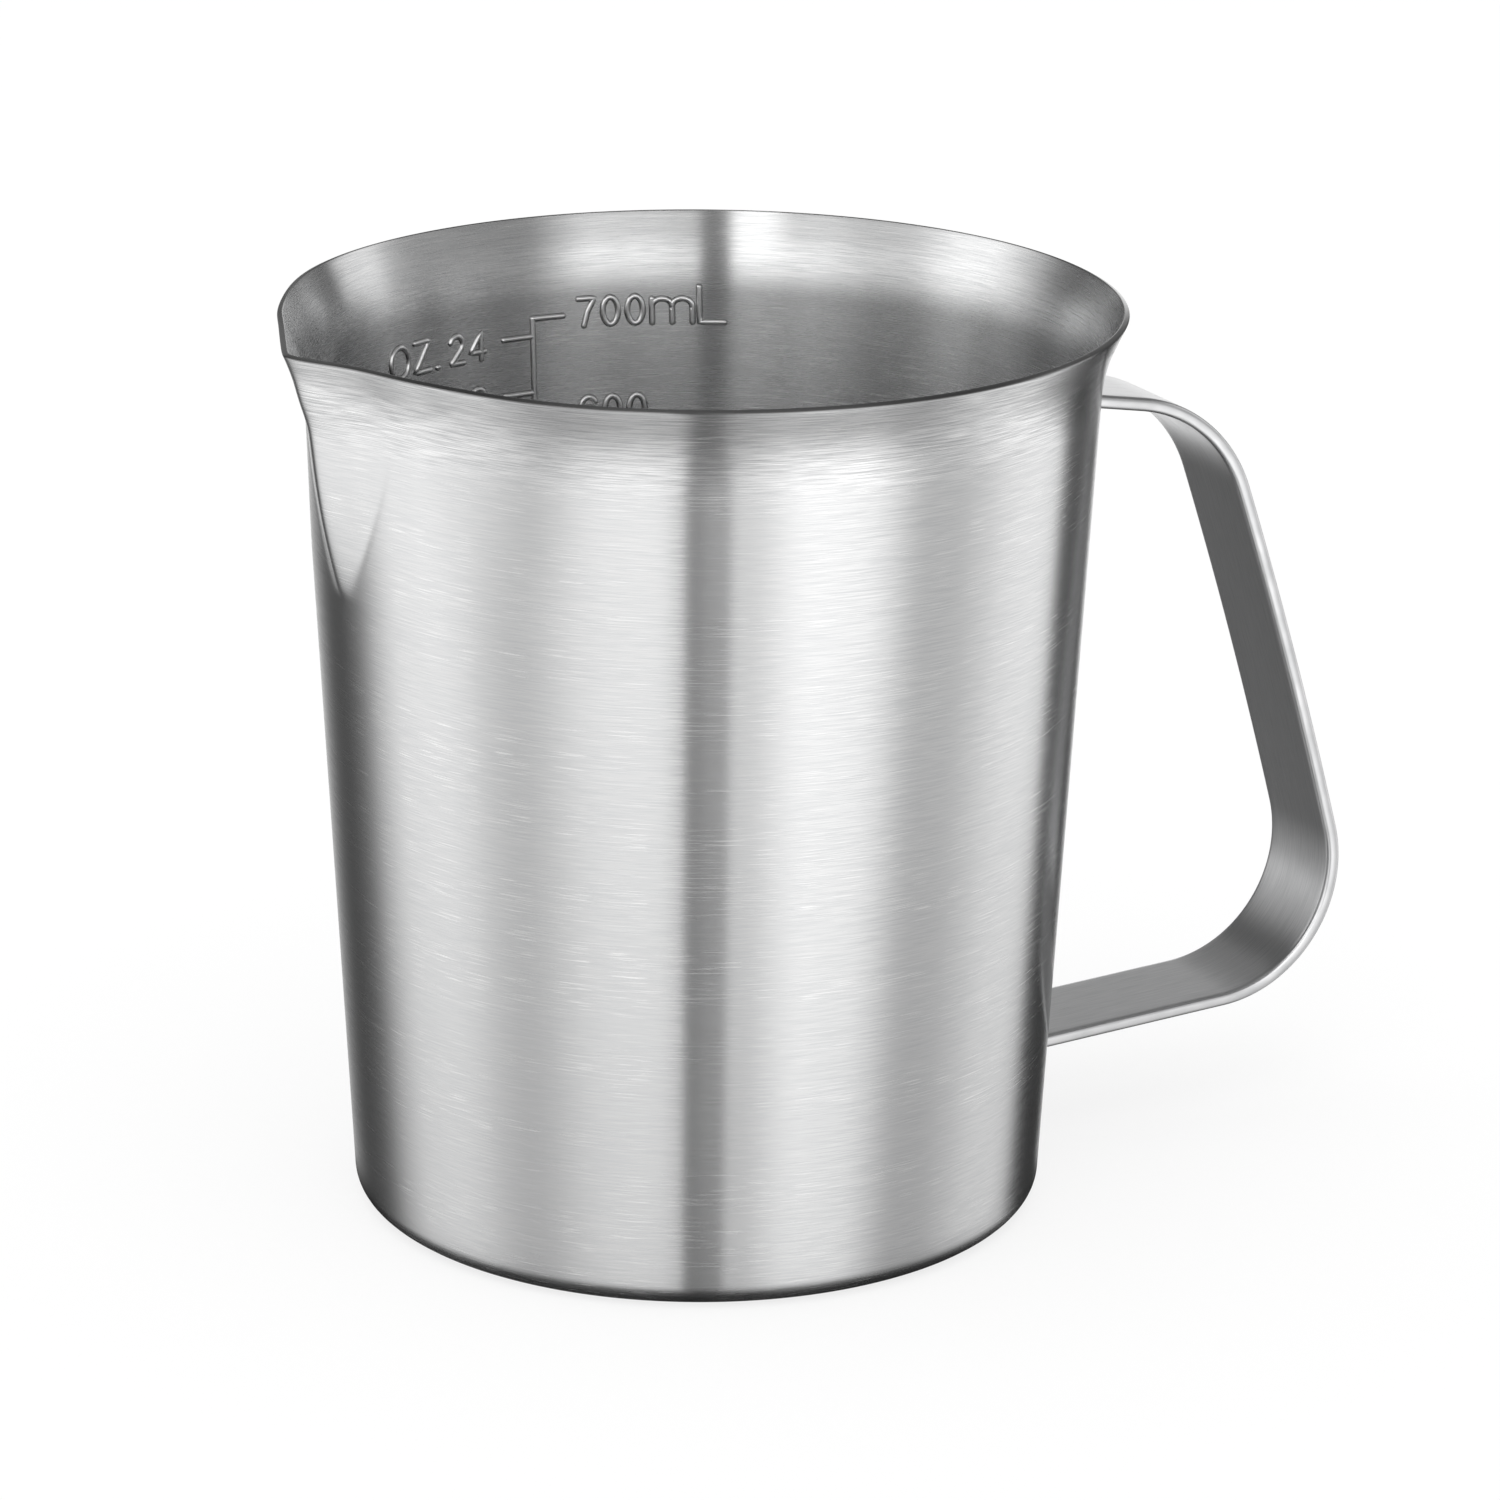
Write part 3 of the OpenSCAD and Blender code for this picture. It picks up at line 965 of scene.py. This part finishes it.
    def build_weld(self, end: StrapEnd, material: Material) -> Object:
        """Builds the dressed weld round one end of the strap.

        Rings of the strap's outline, grown and held off the wall along a hollow
        quarter circle: grow = leg (1 - sin b), gap = leg (1 - cos b).

        Args:
            end: Which end of the strap.
            material: Finish of the weld.

        Returns:
            The weld.
        """
        sweep = np.radians(np.linspace(0.0, 90.0, self.weld_steps + 1))
        leg, sink = self.weld_leg, self.weld_sink
        grow = np.concatenate([[leg], leg * (1.0 - np.sin(sweep)), [-sink]])
        gap = np.concatenate([[-sink], leg * (1.0 - np.cos(sweep)), [leg]])
        y, q = np.stack([self.outline(step) for step in grow], axis=1)
        skin = self.on_wall(end, y, q, gap[:, None])
        across = np.arange(len(grow))[:, None] * leg / self.weld_steps
        along = np.linspace(0.0, 2.0 * self.width, y.shape[1] + 1)
        bead = make_piece(f"{end.value}_weld_bead", [Tube(skin, skin, across, along)])
        return settle(bead, Slot.WELD, material, f"{end.value}_handle_weld")


def line(*points: Pair) -> Array:
    """Draws a stroke along straight stretches, closely stepped.

    Args:
        points: Ends of the stretches.

    Returns:
        Points of the stroke.
    """
    corners, stations = np.array(points), np.arange(len(points))
    steps = np.linspace(0.0, stations[-1], LINE_STEPS * stations[-1] + 1)
    return np.stack([np.interp(steps, stations, corners[:, n]) for n in (0, 1)], -1)


def arc(x: float, y: float, wide: float, high: float, first: float, last: float) -> Array:
    """Stroke along part of an ellipse, between two angles in degrees."""
    turn = heading(np.linspace(first, last, ARC_STEPS))
    return np.array([x, y]) + np.array([wide, high]) * turn


def digit_strokes() -> dict[str, list[Array]]:
    """Strokes of the pressed figures, in a cell 1 high.

    Returns:
        Strokes by character. Lines and ellipse arcs, joined end to end.
    """
    join = np.vstack
    return {
        "0": [arc(0.29, 0.5, 0.29, 0.5, 90.0, 450.0)],
        "1": [line((0.08, 0.78), (0.36, 1.0), (0.36, 0.0))],
        "2": [join([
            arc(0.29, 0.71, 0.28, 0.29, 165.0, -35.0),
            line((0.5, 0.52), (0.02, 0.0)),
            line((0.02, 0.0), (0.6, 0.0)),
        ])],
        "3": [join([
            arc(0.28, 0.73, 0.26, 0.27, 160.0, -90.0), arc(0.28, 0.25, 0.3, 0.25, 90.0, -165.0)
        ])],
        "4": [line((0.48, 0.0), (0.48, 1.0), (0.0, 0.28), (0.64, 0.28))],
        "5": [join([
            line((0.56, 1.0), (0.12, 1.0), (0.05, 0.5)), arc(0.29, 0.33, 0.3, 0.33, 150.0, -160.0)
        ])],
        "6": [join([
            arc(0.31, 0.6, 0.3, 0.4, 35.0, 185.0), arc(0.3, 0.31, 0.29, 0.31, 175.0, -185.0)
        ])],
        "7": [line((0.0, 1.0), (0.6, 1.0), (0.34, 0.5), (0.2, 0.0))],
        "8": [
            arc(0.29, 0.745, 0.25, 0.255, -90.0, 270.0),
            arc(0.29, 0.25, 0.3, 0.25, 90.0, 450.0),
        ],
        "m": [
            line((0.0, 0.0), (0.0, 0.88)),
            join([arc(0.37, 0.58, 0.37, 0.3, 180.0, 0.0), line((0.74, 0.58), (0.74, 0.0))]),
            join([arc(1.11, 0.58, 0.37, 0.3, 180.0, 0.0), line((1.48, 0.58), (1.48, 0.0))]),
        ],
        "L": [line((0.0, 1.3), (0.0, 0.0), (0.9, 0.0))],
        "O": [arc(0.5, 0.53, 0.5, 0.56, 90.0, 450.0)],
        "Z": [line((0.02, 1.08), (0.76, 1.08), (0.0, 0.0), (0.78, 0.0))],
        ".": [line((0.0, 0.02), (0.05, 0.02))],
    }


@dataclass
class VolumeScale:
    """Pressed volume scale on the inside wall: line, marks and figures."""

    bowl: Bowl
    azimuth: float = 91.2
    ml_step: float = 100.0
    ml_count: int = 7
    ml_lift: float = 0.25
    ml_letter_gap: float = 0.3
    oz_step: float = 2.0
    oz_first: float = 4.0
    oz_last: float = 24.0
    oz_drop: float = 0.25
    oz_inset: float = 0.5
    oz_word: float = 11.2
    oz_letter_gap: float = 0.4
    ml_per_oz: float = 28.413
    mark_length: float = 4.4
    ridge_half: float = 0.45
    ridge_h: float = 0.34
    flat_share: float = 0.4
    crown_share: float = 0.3
    root: float = 0.3
    figure_h: float = 3.65
    pitch: float = 3.35
    ml_start: float = 6.6
    oz_start: float = 6.8
    ridge_sink: float = 0.02
    ridge_steps: int = 13
    cap_angles: tuple[float, ...] = (88.0, 70.0, 50.0, 30.0, 12.0)
    # Plateau values over which the painted shade round a ridge gives way to its top.
    corner_shade_span: Pair = (0.1, 0.6)
    first_ml_per_mm: float = 8.0
    pieces: list[Tube] = field(default_factory=list)

    def level(self, ml: float) -> float:
        """Height at which the bowl holds a volume, by Newton's rule.

        The volume is a cone's frustum above the floor, less the ring that the
        rounded corner takes away.

        Args:
            ml: Volume in mL.

        Returns:
            Height above the table in mm.
        """
        bowl = self.bowl
        floor_r = bowl.wall_r(bowl.sheet, bowl.sheet)
        lost = (1.0 - np.pi / 4) * (bowl.corner_r - bowl.sheet) ** 2 * 2.0 * np.pi * floor_r
        depth = ml / self.first_ml_per_mm
        for _ in range(SOLVER_PASSES):
            rise = bowl.wall_slope * depth
            held = np.pi * depth * (floor_r**2 + floor_r * rise + rise**2 / 3) - lost
            depth -= (held - MM3_PER_ML * ml) / (np.pi * (floor_r + rise) ** 2)
        return bowl.sheet + depth

    def ridge(self, stroke: Array) -> Tube:
        """Raises a rounded ridge along a stroke on the inside wall.

        At distance d from the stroke, as a share of its half width, the ridge is
        h (1 - smoothstep(flat, 1, d)), with crown h (1 - d^2) mixed in. It has
        round ends and stands on a root inside the sheet.

        Args:
            stroke: Points on the unrolled wall: distance to the right of the
                scale's line and height, in mm.

        Returns:
            The ridge.
        """
        way = np.gradient(stroke, axis=0)
        way /= np.linalg.norm(way, axis=1, keepdims=True)
        cap = np.sin(np.radians(self.cap_angles))
        past = np.concatenate([-cap, np.zeros(len(stroke)), cap[::-1]])
        base = np.pad(np.arange(len(stroke)), len(cap), mode="edge")
        centre = stroke[base] + past[:, None] * self.ridge_half * way[base]
        square = np.stack([-way[base][:, 1], way[base][:, 0]], -1)
        reach = np.sqrt(1.0 - past**2)[:, None]
        x = np.linspace(-1.0, 1.0, self.ridge_steps) * reach
        away = np.clip(np.hypot(x, past[:, None]), 0.0, 1.0)
        plateau = 1.0 - smoothstep(self.flat_share, 1.0, away)
        crown = self.crown_share * (1.0 - away**2 - plateau)
        raised = self.ridge_h * (plateau + crown) - self.ridge_sink
        x = np.concatenate([x, reach, -reach], 1)
        raised = np.concatenate([raised, np.full((len(x), 2), -self.root)], 1)
        # Painted shade: flanks and root take the dark corner colour, the flat top keeps the
        # steel.
        weight = smoothstep(*self.corner_shade_span, plateau)
        polish_and_painted_light = np.concatenate([weight, np.zeros((len(x), 2))], 1)
        spot = centre[:, None] + x[..., None] * self.ridge_half * square[:, None]
        radius = self.bowl.wall_r(spot[..., 1], self.bowl.sheet)
        turn = heading(self.azimuth - np.degrees(spot[..., 0] / radius))
        points = np.concatenate([(radius - raised)[..., None] * turn, spot[..., 1:]], -1)
        grain = np.concatenate([self.bowl.grain_r * turn, spot[..., 1:]], -1)
        loop = np.append(np.arange(x.shape[1]), 0)
        return Tube(points, grain, spot[:, loop, 1], spot[:, loop, 0], polish_and_painted_light)

    def figures(self, word: str, left: float, middle: float, letter_gap: float = 0.0) -> None:
        """Sets figures in a row on the wall.

        Args:
            word: Characters to set.
            left: Left end, to the right of the scale's line, in mm.
            middle: Height of the middle of the figures.
            letter_gap: Extra space after each letter.
        """
        strokes = digit_strokes()
        x = left
        for character in word:
            start = np.array([x, middle - self.figure_h / 2])
            self.pieces += [
                self.ridge(start + self.figure_h * stroke) for stroke in strokes[character]
            ]
            if character in LETTER_WIDTHS:
                x += self.figure_h * LETTER_WIDTHS[character] + letter_gap
            else:
                x += self.pitch

    def build(self, material: Material) -> Object:
        """Sets line, marks and figures, and settles them as one pressed relief.

        Args:
            material: Finish of the scale.

        Returns:
            The scale.
        """
        amounts = np.arange(1, self.ml_count + 1) * self.ml_step
        ml_levels = [(ml, self.level(ml)) for ml in amounts]
        amounts = np.arange(self.oz_first, self.oz_last + 1.0, self.oz_step)
        oz_levels = [(oz, self.level(oz * self.ml_per_oz)) for oz in amounts]
        low_z, high_z = ml_levels[0][1], ml_levels[-1][1]
        self.pieces.append(self.ridge(line((0.0, low_z), (0.0, high_z))))
        for ml, z in ml_levels:
            self.pieces.append(self.ridge(line((0.0, z), (self.mark_length, z))))
            label = f"{ml:.0f}" + ("mL" if z == high_z else "")
            self.figures(label, self.ml_start, z + self.ml_lift, self.ml_letter_gap)
        for oz, z in oz_levels:
            self.pieces.append(self.ridge(line((-self.mark_length, z), (0.0, z))))
            figure = f"{oz:.0f}"
            left = -self.oz_start - self.pitch * len(figure) + self.oz_inset
            self.figures(figure, left, z - self.oz_drop)
            if oz == oz_levels[-1][0]:
                self.figures("OZ.", left - self.oz_word, z - self.oz_drop, self.oz_letter_gap)
        return settle(make_piece("volume_scale", self.pieces), Slot.BOWL, material)


@dataclass(frozen=True)
class Panel:
    """A soft light panel or dark flag round the jug.

    Attributes:
        azimuth: Middle, in degrees to the right of the camera as the jug sees it.
        half_width: Half of its width in degrees.
        softness: Half of the width of its soft edge in degrees.
        glow: Brightness, where 1 is white.
        bottom: Elevation of its lower edge in degrees, seen from the jug.
        top: Elevation of its upper edge.
    """

    azimuth: float
    half_width: float
    softness: float
    glow: float
    bottom: float = -99.0
    top: float = 99.0


@dataclass
class Studio:
    """Camera, pale floor, white surroundings and soft panels."""

    camera_place: Triple = (-314.4, -644.7, 291.2)
    heading_angle: float = -26.0
    pan: float = 0.5157
    pitch: float = 17.970
    roll: float = 0.5412
    lens: float = 141.504
    sensor: float = 36.0
    floor_half: float = 4000.0
    floor_paint: Triple = (0.2, 0.2, 0.2)
    floor_glow: float = 0.79
    tent_r: float = 9000.0
    tent_top: float = 89.9
    tent_rings: int = 91
    tent_columns: int = 360
    edge_rise: float = 6.0
    ambient: float = 0.70
    panel_gain: float = 1.2
    nadir_share: float = 0.32
    nadir_level: Pair = (-68.0, -36.0)
    panels: tuple[Panel, ...] = (
        Panel(-98.0, 28.0, 14.0, 1.11),
        Panel(-17.0, 25.0, 15.0, 1.14),
        Panel(40.5, 19.5, 12.0, 1.43),
        Panel(85.0, 18.0, 11.0, 0.67),
        Panel(116.5, 24.0, 15.0, 1.1),
        Panel(85.0, 42.0, 18.0, 0.6, top=-52.0),
        Panel(-62.0, 52.0, 10.0, 1.15, bottom=3.0),
        Panel(-86.0, 13.0, 9.0, 1.68, bottom=3.0),
        Panel(-22.0, 22.0, 11.0, 1.7, bottom=3.0),
        Panel(60.0, 46.0, 5.0, 0.45, bottom=0.0),
        Panel(24.0, 20.0, 12.0, 1.7, bottom=0.0),
        Panel(0.0, 361.0, 1.0, 0.1, bottom=38.0),
        Panel(-17.0, 9.0, 5.0, 1.8, bottom=3.0, top=58.0),
        Panel(164.0, 36.0, 5.0, 0.17, bottom=-14.0),
        Panel(2.3, 6.8, 1.2, 0.3, top=-6.0),
        Panel(-4.0, 4.6, 1.2, 0.22, bottom=-6.0),
        Panel(223.5, 22.0, 16.0, 0.09),
        Panel(155.5, 27.0, 4.0, 0.03, top=-12.0),
        Panel(174.0, 9.0, 4.0, 1.2, bottom=-34.0, top=14.0),
        Panel(180.0, 12.0, 6.0, 1.1, bottom=-36.0, top=-8.0),
        Panel(180.0, 20.0, 8.0, 0.35, bottom=19.0, top=34.0),
        Panel(240.0, 6.0, 4.0, 0.6, bottom=-7.0, top=5.0),
        Panel(0.0, 361.0, 1.0, 0.34, bottom=62.0),
    )
    shade_inner: float = 30.0
    shade_r: float = 300.0
    shade_lift: float = 0.12
    shade_glow: float = 0.02
    contact_reach: Pair = (44.8, 49.0)
    near_share: float = 0.28
    shade_rings: int = 181
    shade_columns: int = 72
    lamp_size: float = 1200.0
    lamp_watts: float = 4.0
    lamp_place: Triple = (-250.0, -350.0, 1500.0)
    lamp_target: Triple = (0.0, 0.0, 50.0)

    def set_camera(self) -> None:
        """Places the camera at the photograph's viewing angle."""
        pan, pitch, roll, turn = np.radians([self.pan, self.pitch, self.roll, self.heading_angle])
        flat = np.array([np.sin(pan), np.cos(pan), 0.0])
        forward = flat * np.cos(pitch) - np.array([0.0, 0.0, np.sin(pitch)])
        level = np.array([np.cos(pan), -np.sin(pan), 0.0])
        upright = np.cross(level, forward)
        right = level * np.cos(roll) + upright * np.sin(roll)
        up = upright * np.cos(roll) - level * np.sin(roll)
        ahead, aside = np.cos(turn), np.sin(turn)
        swing = np.array([[ahead, -aside, 0.0], [aside, ahead, 0.0], [0.0, 0.0, 1.0]])
        axes = swing @ np.stack([right, up, -forward], -1)
        data = bpy.data.cameras.new("camera")
        data.lens = self.lens
        data.sensor_width = self.sensor
        camera = place("camera", data)
        pose = Matrix(axes.tolist()).to_4x4()
        pose.translation = Vector(self.camera_place) * MM
        camera.matrix_world = pose
        bpy.context.scene.camera = camera

    def set_world(self) -> None:
        """White surroundings that light evenly and show as white."""
        world = bpy.data.worlds.new("white_surroundings")
        world.use_nodes = True
        desk = NodeDesk(world.node_tree)
        light = desk.feed(desk.add("ShaderNodeBackground"), Color=WHITE, Strength=1.0)
        desk.feed(desk.add("ShaderNodeOutputWorld"), Surface=light.outputs[0])
        bpy.context.scene.world = world

    def plain_mesh(self, name: str, points: Array, quads: Array) -> Object:
        """Makes an object of the stage.

        Args:
            name: Name of the object.
            points: Points in mm.
            quads: Four-sided faces.

        Returns:
            The object.
        """
        mesh = bpy.data.meshes.new(name)
        mesh.from_pydata((points * MM).tolist(), [], quads.tolist())
        item = place(name, mesh)
        return item

    def set_floor(self) -> None:
        """Pale floor that keeps the jug's shadow."""
        corners = self.floor_half * np.array(
            [[-1.0, -1.0, 0.0], [1.0, -1.0, 0.0], [1.0, 1.0, 0.0], [-1.0, 1.0, 0.0]]
        )
        floor = self.plain_mesh("floor", corners, np.arange(len(corners))[None])
        material, desk = fresh_material("pale_floor")
        paint = desk.feed(desk.add("ShaderNodeBsdfDiffuse"), Color=(*self.floor_paint, 1.0))
        seen = desk.add("ShaderNodeLightPath").outputs["Is Camera Ray"]
        glow = desk.math("MULTIPLY", self.floor_glow, seen)
        shine = desk.feed(desk.add("ShaderNodeEmission"), Strength=glow)
        both = desk.add("ShaderNodeAddShader")
        desk.show(desk.feed(both, in0=paint.outputs[0], in1=shine.outputs[0]))
        floor.data.materials.append(material)
        floor.visible_glossy = False

    def ring_mesh(
        self, name: str, radius: Array, height: Array, azimuth: Array
    ) -> Object:
        """Makes a stage object of rings round the jug's axis that only reflections see.

        Args:
            name: Name of the object.
            radius: Radius of each ring in mm.
            height: Height of each ring in mm.
            azimuth: Angles round the rings, in degrees to the right of the camera.

        Returns:
            The object, with one row of points for each ring.
        """
        rows, columns = len(radius), len(azimuth)
        turn = heading(azimuth + self.heading_angle - 90.0)
        upright = np.broadcast_to(height[:, None, None], (rows, columns, 1))
        points = np.concatenate([radius[:, None, None] * turn, upright], -1)
        quads = np.roll(grid_cells(rows, columns)[-1][..., ::-1], 1, axis=-1)
        item = self.plain_mesh(name, points.reshape(-1, 3), quads.reshape(-1, 4))
        for ray in ("camera", "diffuse", "transmission", "volume_scatter", "shadow"):
            setattr(item, f"visible_{ray}", False)
        return item

    def panel_glow(self, azimuth: Array, level: Array) -> Array:
        """Brightness of the surroundings: panels laid over an even ambient, in order.

        Args:
            azimuth: Degrees to the right of the camera.
            level: Elevation in degrees.

        Returns:
            Brightness, where 1 is white.
        """
        glow = np.full(azimuth.shape, self.ambient)
        rise = self.edge_rise
        for panel in self.panels:
            apart = np.abs((azimuth - panel.azimuth + 180.0) % 360.0 - 180.0)
            wide, soft = panel.half_width, panel.softness
            cover = 1.0 - smoothstep(wide - soft, wide + soft, apart)
            cover = cover * smoothstep(panel.bottom - rise, panel.bottom + rise, level)
            cover = cover * (1.0 - smoothstep(panel.top - rise, panel.top + rise, level))
            glow = glow + (panel.glow - glow) * cover
        below = self.nadir_share + (1.0 - self.nadir_share) * smoothstep(*self.nadir_level, level)
        return self.panel_gain * glow * below

    def set_panels(self) -> None:
        """Far dome of soft panels that only reflections see."""
        level = np.linspace(-self.tent_top, self.tent_top, self.tent_rings)
        azimuth = np.linspace(-180.0, 180.0, self.tent_columns + 1)[:-1]
        way = self.tent_r * heading(level)
        dome = self.ring_mesh("light_panels", way[:, 0], way[:, 1], azimuth)
        paint_points(dome.data, GLOW, self.panel_glow(*np.meshgrid(azimuth, level)))
        material, desk = fresh_material("soft_panels")
        desk.show(desk.feed(desk.add("ShaderNodeEmission"), Strength=desk.painted(GLOW)))
        dome.data.materials.append(material)

    def set_contact_shade(self) -> None:
        """Dark patch under the jug's foot that only reflections see."""
        radius = np.geomspace(self.shade_inner, self.shade_r, self.shade_rings)
        azimuth = np.linspace(-180.0, 180.0, self.shade_columns + 1)[:-1]
        height = np.full(len(radius), self.shade_lift)
        patch = self.ring_mesh("contact_shade", radius, height, azimuth)
        near = self.near_share * (1.0 - smoothstep(self.contact_reach[0], self.shade_r, radius))
        cover = near + (1.0 - near) * (1.0 - smoothstep(*self.contact_reach, radius))
        paint_points(patch.data, SHADE, np.repeat(cover, len(azimuth)))
        material, desk = fresh_material("contact_shade")
        share = desk.painted(SHADE)
        dark = desk.feed(desk.add("ShaderNodeEmission"), Strength=self.shade_glow)
        clear = desk.add("ShaderNodeBsdfTransparent")
        both = desk.add("ShaderNodeMixShader")
        desk.show(desk.feed(both, in0=share, in1=clear.outputs[0], in2=dark.outputs[0]))
        patch.data.materials.append(material)

    def set_lamp(self) -> None:
        """Soft overhead lamp for a faint shadow."""
        data = bpy.data.lights.new("overhead_softbox", "AREA")
        data.shape = "DISK"
        data.size = self.lamp_size * MM
        data.energy = self.lamp_watts
        lamp = place("overhead_softbox", data)
        lamp.location = np.array(self.lamp_place) * MM
        aim = Vector(np.array(self.lamp_target) * MM) - lamp.location
        lamp.rotation_euler = aim.to_track_quat("-Z", "Y").to_euler()
        lamp.visible_glossy = False

    def build(self) -> None:
        """Sets up the whole studio."""
        bpy.context.scene.view_settings.view_transform = "Standard"
        self.set_camera()
        self.set_world()
        self.set_floor()
        self.set_panels()
        self.set_contact_shade()
        self.set_lamp()


def main() -> None:
    """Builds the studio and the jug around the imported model."""
    logging.basicConfig(level=logging.INFO, format="%(message)s")
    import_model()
    Studio().build()
    group = brush_group()
    bowl_steel = BOWL_STEEL.material(group)
    weld_steel = WELD_STEEL.material(group)
    bowl = Bowl()
    bowl.build(bowl_steel)
    VolumeScale(bowl).build(SCALE_STEEL_WITH_PAINTED_LIGHT.material(group))
    strap = StrapHandle(bowl)
    strap.build(HANDLE_STEEL.material(group))
    for end in StrapEnd:
        strap.build_weld(end, weld_steel)


if __name__ == "__main__":
    main()
